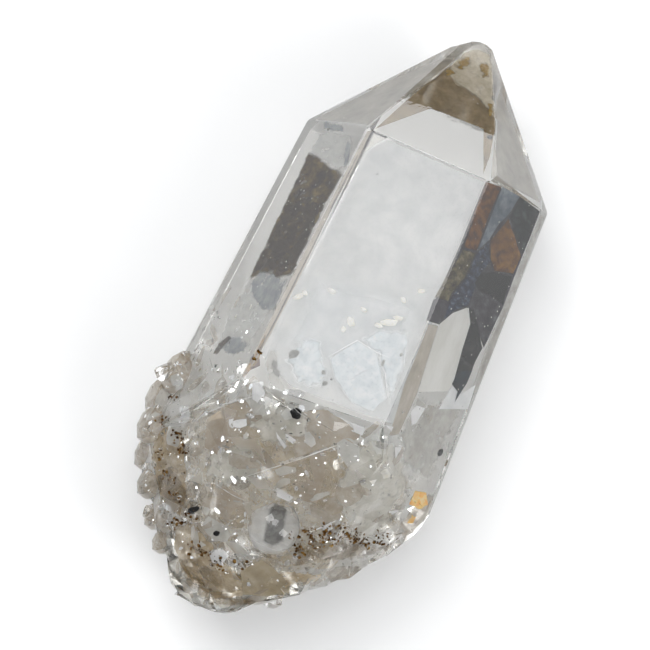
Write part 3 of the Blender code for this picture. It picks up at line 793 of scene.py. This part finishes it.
# These white ribbons along cracks and by the dome are painted highlights.
streak("crack_bright", "base", 0.2, 0.13, painted_highlight, ((0.2, -31.1), (1.8, -29.6), (3.2, -28.3)))
streak("crack_faint", "base", 0.2, 0.06, painted_highlight, ((-3.6, -34.4), (-1.8, -32.8), (0.2, -31.1)))
streak("window_edge_left", "base", 0.3, 0.12, painted_highlight, ((-10.0, -31.9), (-9.2, -30.3), (-7.0, -28.4),
       (-5.1, -26.9)), True)
streak("window_edge_right", "base", 0.3, 0.10, painted_highlight, ((1.4, -25.4), (2.4, -25.9), (3.5, -26.0), (5.1, -26.3)), True)
streak("low_edge", "base", 0.4, 0.07, painted_highlight, ((-6.1, -35.8), (-4.4, -36.1), (-2.6, -36.1)), True)
streak("dome_flash", "base", 0.4, 0.18, painted_highlight, ((4.0, -36.4), (4.9, -35.5), (5.8, -34.5)), True)
# White sheets of painted highlight where crack faces flash, each given by its outline.
PAINTED_GLINTS = (
    ((-6.7, -30.1), (-5.4, -29.4), (-5.1, -30.0), (-5.6, -30.5), (-6.3, -30.6)),
    ((-6.2, -26.3), (-5.3, -25.8), (-4.7, -26.8), (-5.0, -27.7), (-5.6, -27.6)),
    ((-2.5, -29.3), (-1.0, -30.1), (-1.1, -30.5), (-2.2, -29.8)),
    ((-1.6, -29.1), (-0.4, -29.3), (-0.6, -29.8), (-1.4, -29.5)),
    ((-0.4, -33.9), (0.2, -33.8), (1.4, -34.1), (1.2, -34.7), (-0.1, -34.7)),
    ((9.9, -31.6), (11.0, -30.8), (10.2, -31.9)),
    ((3.6, -25.9), (4.9, -25.8), (5.0, -26.6), (4.1, -26.6)),
    ((6.3, -24.9), (7.0, -24.7), (7.0, -25.3)),
    ((-8.4, -26.6), (-7.8, -26.2), (-7.7, -26.8)),
    ((-3.9, -41.8), (-2.9, -41.0), (-2.0, -41.4), (-2.3, -42.5), (-3.2, -42.6)),
    ((-11.7, -30.8), (-10.7, -30.4), (-10.5, -31.4), (-10.9, -32.3)),
    ((4.9, -35.5), (5.5, -34.7), (5.9, -35.3), (5.2, -36.1)),
    ((7.8, -26.3), (8.7, -25.8), (8.8, -26.7), (8.2, -27.2)),
    ((-9.9, -39.4), (-8.9, -39.2), (-8.3, -40.0), (-9.4, -39.9)),
    ((-13.3, -28.6), (-12.7, -28.4), (-12.6, -29.2), (-13.2, -29.2)),
    ((8.0, -22.0), (8.9, -21.8), (8.9, -23.2), (8.4, -23.9), (7.8, -22.8)))
films("base", [(f"glint_{number:02d}", 0.14, 0.05, painted_highlight, outline) for number, outline in enumerate(PAINTED_GLINTS, 1)], True)
# A painted white highlight under the right face, and a cream painted highlight under the right side of the point.
film("painted_glint_right", "right", 0.4, 0.05, painted_highlight, ((8.4, -12.9), (9.1, -12.4), (9.5, -13.6), (8.9, -13.5)))
film("painted_glint_point", "point right", 0.4, 0.05, cream_spot_and_painted_glint, ((6.9, 4.3), (7.7, 5.0), (7.9, 4.4), (7.3, 3.8)))
# Two cream sheets of painted highlight in the base.
films("base", (
    ("cream_painted_glint_a", 0.3, 0.03, cream_spot_and_painted_glint, ((7.6, -28.7), (8.0, -28.1), (8.9, -28.6), (8.1, -29.3))),
    ("cream_painted_glint_b", 0.3, 0.03, cream_spot_and_painted_glint, ((7.0, -29.9), (7.6, -29.5), (7.5, -30.1)))), True)

# Inside the clear dome on the base: a pale skin of bubbles, grey smoke, and the dome's rim, which
# is bright where it meets the light and dark on the other side.

# The skin lightens the dome to a pale disc; the smoke is a soft grey cloud in it.
pale_skin = mineral_and_painted_light("pale_bubble_skin", "d2d1cd dbdad7 e5e4e1 f1f0ee", 1.0, 0.72, 0.05, 0.04, 50.0)
smoke_wisp = mineral_and_painted_light("grey_smoke_wisp", "5a5956 6f6e6b 888784 a3a29f", 1.1, 0.74, 0.3, 0.0, 51.0)
films("base", (
    ("dome_skin", 0.8, 0.12, pale_skin, ((-1.2, -38.1), (-1.4, -36.5), (-0.3, -35.3), (1.5, -35.1), (2.8, -36.1),
     (3.0, -37.8), (1.8, -39.1), (0.1, -39.4))),
    ("dome_smoke", 0.3, 0.45, smoke_wisp, ((-0.3, -36.5), (-0.3, -35.2), (0.9, -34.9), (1.5, -35.3), (1.7, -36.4),
     (2.3, -38.2), (1.4, -39.1), (0.3, -39.0), (0.0, -37.9)))), True)
# The rim's bright arc is a painted highlight and its dark arc is painted shade.
RIM_RADII = (2.3, 2.4)
for name, first, last, finish in (("dome_rim_bright", 170, 330, painted_highlight), ("dome_rim_dark", -20, 80, painted_shade_line)):
    arc = [math.radians(first + (last - first) * step / 10) for step in range(11)]
    streak(name, "base", 0.12, 0.10, finish, [
        (DOME[0] + RIM_RADII[0] * math.cos(angle), DOME[1] + RIM_RADII[1] * math.sin(angle)) for angle in arc], True)

# Grains: rusty clay caked in the hollows of the crust, black tourmaline, grey and cream specks.
# One rough grain is modelled, then copied, turned and squashed into its places in the quartz.
GRAIN_COVER = 0.05
STAINS = (  # x, y, spread, and number of crumbs
    (4.8, -38.0, 0.7, 48), (6.1, -36.9, 0.9, 72), (7.5, -36.1, 0.8, 60), (8.6, -36.3, 0.7, 48),
    (10.4, -35.2, 0.8, 42), (4.0, -39.3, 0.6, 36), (4.0, -37.4, 0.5, 30), (3.0, -38.5, 0.5, 24),
    (-0.6, -42.6, 0.5, 24), (-2.6, -43.6, 0.7, 36), (-10.4, -38.0, 0.7, 42), (-4.8, -43.2, 0.6, 36),
    (-6.6, -40.8, 0.6, 36), (-10.9, -34.1, 0.6, 30), (-9.9, -35.2, 0.5, 30), (-13.0, -31.0, 0.5, 24),
    (-12.2, -36.6, 0.6, 36), (-7.8, -41.8, 0.6, 36), (-12.9, -33.6, 0.5, 24), (-9.0, -39.2, 0.6, 36),
    (-6.75, -24.3, 0.16, 21), (-6.95, -25.1, 0.14, 15))
TOURMALINES = (  # x, y, length and width
    (-1.4, -28.1, 0.55, 0.42), (-6.7, -39.9, 0.62, 0.30), (-3.8, -41.1, 0.32, 0.26),
    (12.2, -25.6, 0.45, 0.32), (-3.6, -4.8, 0.10, 0.07), (4.4, 3.1, 0.34, 0.24), (-10.3, -26.9, 0.18, 0.14),
    (-6.3, -33.0, 0.09, 0.07), (2.9, -29.2, 0.10, 0.06), (0.3, -23.9, 0.12, 0.10), (5.2, -27.0, 0.06, 0.05),
    (-3.0, -35.6, 0.07, 0.05), (1.2, -25.6, 0.07, 0.05), (-0.6, -30.6, 0.05, 0.05))
GREY_SPECKS = (
    (-3.8, -23.2, 0.55, 0.35), (-0.6, -23.6, 0.22, 0.18), (-0.1, -24.5, 0.30, 0.2), (4.0, -20.6, 0.35, 0.12),
    (5.2, -19.2, 0.2, 0.12), (-10.0, -2.0, 0.22, 0.2), (-5.0, -24.8, 0.5, 0.3), (-4.6, -25.4, 0.45, 0.3))
CREAM_SPECKS = (
    (-5.6, -18.1, 0.55, 0.22), (-5.2, -17.6, 0.3, 0.18), (-3.0, -16.4, 0.42, 0.22), (-0.2, -18.3, 0.5, 0.3),
    (-0.6, -19.2, 0.3, 0.2), (0.4, -16.8, 0.35, 0.18), (3.0, -16.9, 0.85, 0.3), (2.2, -17.6, 0.4, 0.2),
    (3.6, -16.2, 0.5, 0.2), (3.3, -14.5, 0.35, 0.2), (4.5, -13.1, 0.35, 0.2), (-9.6, -20.6, 0.4, 0.25),
    (-10.6, -21.9, 0.32, 0.28), (-9.0, -20.0, 0.3, 0.2), (-9.4, -28.6, 0.2, 0.2))

# The clay is dull brown crumbs from nearly black to ochre, the tourmaline glossy black, the grey
# specks soft flecks, and the cloudy middles of the lumps make the crust pale beige, not clear.
rusty_clay = mineral_and_painted_light("rusty_clay", "140a03 3a2410 70522a a8905a", 0.45, 1.0, 0.0, 0.0, 41.0, 1.0, 0.85)
tourmaline = mineral_and_painted_light("black_tourmaline", "050506 0b0b0d 141417 2a2a2e", 0.5, 1.0, 0.0, 0.0, 42.0, 1.0, 0.25)
grey_speck = mineral_and_painted_light("grey_inclusion", "6b6a66 7f7e79 92918c a8a7a2", 0.4, 0.85, 0.0, 0.0, 43.0)
cloudy = mineral_and_painted_light("cloudy_core", "b3a48c c5b7a1 d6cab8 e9e1d4", 1.0, 0.55, 0.0, 0.14, 61.0)


def gather(name, pieces, material, sealed=True):
    """Make one piece of many copies; a sealed one stays under the skin of the quartz."""
    pick(*pieces)
    bpy.ops.object.join()
    whole = bpy.context.object
    whole.name = name
    whole.data.transform(LAY_DOWN)
    if sealed:
        keep_under(whole, GRAIN_COVER)
    mark_body(whole, [True] * len(whole.data.vertices))
    whole.data.materials.clear()
    whole.data.materials.append(material)
    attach(whole, "root")


def sunk(x, y, depth):
    """The place on the crystal's upper side at x and y, sunk into it by some mm."""
    over = LAY_DOWN @ Vector((x, y, 40.0))
    spot, normal, _, _ = skin.ray_cast(over, Vector((0.0, 0.0, -1.0)))
    return LAY_DOWN.inverted() @ (spot - normal * depth * MM) if spot else None


def any_turn(chance, tilt):
    """A random turn about the upright, tilted by up to some radians."""
    turn = Matrix.Rotation(chance.uniform(0.0, math.tau), 4, "Z")
    return turn @ Matrix.Rotation(chance.uniform(-tilt, tilt), 4, "X")


grain = rough_ball("grain", 0.28, 7)
chance = random.Random(21)
grains = []
for x, y, spread, count in STAINS:
    for _ in range(count):
        at = sunk(x + chance.gauss(0.0, spread * 0.7), y + chance.gauss(0.0, spread * 0.5), 0.03)
        if at is None:
            continue
        size = 0.03 + 0.15 * chance.random() ** 2.5
        half_sizes = (size * chance.uniform(0.8, 1.5), size * chance.uniform(0.7, 1.2), size * 0.5)
        grains.append(copy_of(grain, placed_at(at, any_turn(chance, 1.5), half_sizes)))
gather("iron_stain", grains, rusty_clay, False)
gather("tourmaline_specks", [
    copy_of(grain, placed_at(sunk(x, y, 0.1 + 0.5 * wide), any_turn(chance, 0.4), (long, wide, 0.7 * wide)))
    for x, y, long, wide in TOURMALINES], tourmaline)
for name, places, thickness, finish in (
        ("grey_inclusions", GREY_SPECKS, 0.08, grey_speck), ("cream_spots", CREAM_SPECKS, 0.10, cream_spot_and_painted_glint)):
    gather(name, [
        copy_of(grain, placed_at(sunk(x, y, 0.5), any_turn(chance, 0.1), (long, wide, thickness)))
        for x, y, long, wide in places], finish)
gather("crust_cores", [
    copy_of(grain, placed_at(middle, Matrix(), [0.66 * size for size in half_sizes]))
    for middle, half_sizes in CRUST_LUMPS], cloudy)
bpy.data.objects.remove(grain, do_unlink=True)

# Small healed cracks that fill the base with a mosaic of tones, above and all round it. One flake
# is modelled and copied: each milky, beige or grey one is a thin, half clear patch with a faint
# mottling, and a mirroring one is a clean crack face, silvery, and white where it faces a light.
milky_flake = mineral_and_painted_light("milky_flake", "dadbd8 e4e5e2 eeefec f8f8f6", 0.8, 0.5, 0.3, 0.05, 71.0)
beige_flake = mineral_and_painted_light("beige_flake", "b0a492 bfb3a3 cdc3b4 ddd5c9", 0.8, 0.5, 0.3, 0.08, 72.0)
grey_flake = mineral_and_painted_light("grey_flake", "7f7b73 928e86 a5a199 bcb9b2", 0.8, 0.45, 0.4, 0.08, 73.0)
mirroring = mineral_and_painted_light("mirroring_crack_face", "f0f0f0 f4f4f4 f8f8f8 fdfdfd", 1.0, 1.0, 0.0, 0.0, 74.0, 1.0, 0.22)
mirroring.node_tree.nodes["Principled BSDF"].inputs["Metallic"].default_value = 1.0
RIGHT_END, CRUST_END = 12.4, -6.5
FLAKES = (  # how many, sizes, depths, seed, and how far right they go, or None where they are all round
    ("milky_flakes", milky_flake, 44, (0.3, 1.5), (0.3, 1.4), 5, RIGHT_END),
    ("beige_flakes", beige_flake, 40, (0.4, 1.6), (0.3, 1.6), 6, RIGHT_END),
    ("grey_flakes", grey_flake, 30, (0.3, 1.2), (0.3, 1.6), 7, RIGHT_END),
    ("white_flashes", mirroring, 110, (0.14, 0.42), (0.15, 0.6), 9, RIGHT_END),
    ("tiny_flashes", mirroring, 700, (0.03, 0.16), (0.12, 0.9), 8, RIGHT_END),
    ("crust_flashes", mirroring, 120, (0.10, 0.34), (0.12, 0.35), 18, CRUST_END),
    ("milky_flakes_round", milky_flake, 60, (0.3, 1.4), (0.3, 1.2), 15, None),
    ("beige_flakes_round", beige_flake, 60, (0.4, 1.5), (0.3, 1.2), 16, None),
    ("white_flashes_round", mirroring, 120, (0.06, 0.32), (0.15, 0.5), 17, None))
BASE_LEFT, BASE_END, BASE_START, BASE_MIDDLE = -14.5, -44.5, -20.5, -2.0
ROUND_START = -0.0065
CLEAR_FACE = (7.4, -25.6)  # its half width, and its end
CLEAR_DOME = 2.2

flake = thin_patch(6, 0.45, 12)
pick()
for name, finish, wanted, sizes, depths, seed, right_end in FLAKES:
    chance = random.Random(seed)
    all_round = right_end is None
    grains = []
    while len(grains) < wanted:
        if all_round:
            spot, way = spot_on(skin, LAY_DOWN @ HEART, cad_low, (cad_high.x, ROUND_START, cad_high.z), chance)
            at = LAY_DOWN.inverted() @ (spot - way * chance.uniform(*depths) * MM)
        else:
            at = sunk(
                chance.uniform(BASE_LEFT, right_end), chance.uniform(BASE_END, BASE_START), chance.uniform(*depths))
        size = sizes[0] + (sizes[1] - sizes[0]) * chance.random() ** 2
        if at is None or (at.z < BASE_MIDDLE and not all_round):
            continue
        on_face = at.z > 0.0 and at.y > CLEAR_FACE[1] and abs(at.x) < CLEAR_FACE[0]
        on_dome = at.z > 0.0 and math.hypot(at.x - DOME[0], at.y - DOME[1]) < CLEAR_DOME + size
        near = skin.find_nearest(LAY_DOWN @ at)[0]
        if on_face or on_dome or (LAY_DOWN @ at - near).length < min(0.35 * size, 0.3) * MM:
            continue
        turn = any_turn(chance, 0.5)
        if all_round:
            turn = way.to_track_quat("Z", "Y").to_matrix().to_4x4() @ turn
        grains.append(copy_of(flake, placed_at(at, turn, (size, size * chance.uniform(0.3, 1.0), 1.0))))
    gather(name, grains, finish)
bpy.data.objects.remove(flake, do_unlink=True)

# The studio: a large round sheet of white paper to lie on, four soft boxes, and a pale room
# that is brightest overhead and at the far edge of the paper, and greyer in between.
PAPER_RADIUS = 4.0
ROOM_GREYS = ((0.05, 0.62), (0.10, 0.80), (0.16, 0.80), (0.24, 0.32), (0.55, 0.30), (0.8, 0.61))  # height, grey

pick()
bpy.ops.mesh.primitive_circle_add(vertices=128, radius=PAPER_RADIUS, fill_type="NGON", location=(0, 0, -0.0002))
floor = bpy.context.object
floor.name = "floor"
# White paper: matt, so it shows only the crystal's soft shadow.
paper, _, shader = material_of("white_paper")
shader.inputs["Base Color"].default_value = (0.9, 0.9, 0.9, 1)
shader.inputs["Roughness"].default_value = 0.9
floor.data.materials.append(paper)

room = bpy.data.worlds.new("studio_room")
bpy.context.scene.world = room
room.use_nodes = True
tree = room.node_tree
upward = node(tree, "SeparateXYZ", {}, {0: node(tree, "TexCoord").outputs["Generated"]}).outputs["Z"]
ramp = node(tree, "ValToRGB", {}, {0: upward})
ramp.color_ramp.elements[0].color = (0.50, 0.50, 0.51, 1)
ramp.color_ramp.elements[1].color = (0.95, 1.0, 1.05, 1)
for height, grey in ROOM_GREYS:
    ramp.color_ramp.elements.new(height).color = (grey, grey, grey, 1)
tree.links.new(ramp.outputs[0], tree.nodes["Background"].inputs["Color"])


def softbox(name, place, aim, width, height, brightness):
    """A rectangular soft box at a place, turned to its aim, with this brightness of its face."""
    data = bpy.data.lights.new(name, "AREA")
    data.shape = "RECTANGLE"
    data.size = width
    data.size_y = height
    data.energy = brightness * width * height * math.pi
    light = bpy.data.objects.new(name, data)
    bpy.context.scene.collection.objects.link(light)
    light.location = place
    light.rotation_mode = "QUATERNION"
    light.rotation_quaternion = (Vector(aim) - Vector(place)).to_track_quat("-Z", "Y")


softbox("key", (-0.35, 0.25, 0.65), (0, 0, 0), 0.35, 0.35, 5.6)
softbox("fill", (0.5, -0.1, 0.5), (0, 0, 0), 0.25, 0.4, 5.0)
softbox("overhead", (-0.034, 0.19, 0.776), (0, 0, 0.01), 0.30, 0.30, 4.5)
softbox("low back", (-0.03, 0.75, 0.164), (0, 0, 0.01), 0.35, 0.22, 4.5)

# The camera: almost straight above, turned so that the point leans to the upper right, with a
# long lens and everything sharp.
ELEVATION = math.radians(86.576)
LEAN = math.radians(2.470)
ROLL = math.radians(24.03)
DISTANCE = 0.34346
aim = Vector((-0.001607, -0.000660, 0.0106))
lens = bpy.data.cameras.new("camera")
lens.lens = 200
lens.sensor_width = 36
lens.clip_start = 0.01
lens.clip_end = 20
camera = bpy.data.objects.new("camera", lens)
bpy.context.scene.collection.objects.link(camera)
bpy.context.scene.camera = camera
back = Matrix.Rotation(LEAN, 3, "Y") @ Vector((0, -math.cos(ELEVATION), math.sin(ELEVATION)))
aside = Vector((0, 1, 0)).cross(back).normalized()
turn = Matrix((aside, back.cross(aside), back)).transposed().to_4x4() @ Matrix.Rotation(ROLL, 4, "Z")
camera.matrix_world = Matrix.Translation(aim + back * DISTANCE) @ turn

scene = bpy.context.scene
scene.view_settings.view_transform = "Standard"
scene.cycles.max_bounces = 24
scene.cycles.transmission_bounces = 24
scene.cycles.glossy_bounces = 12
scene.cycles.transparent_max_bounces = 24
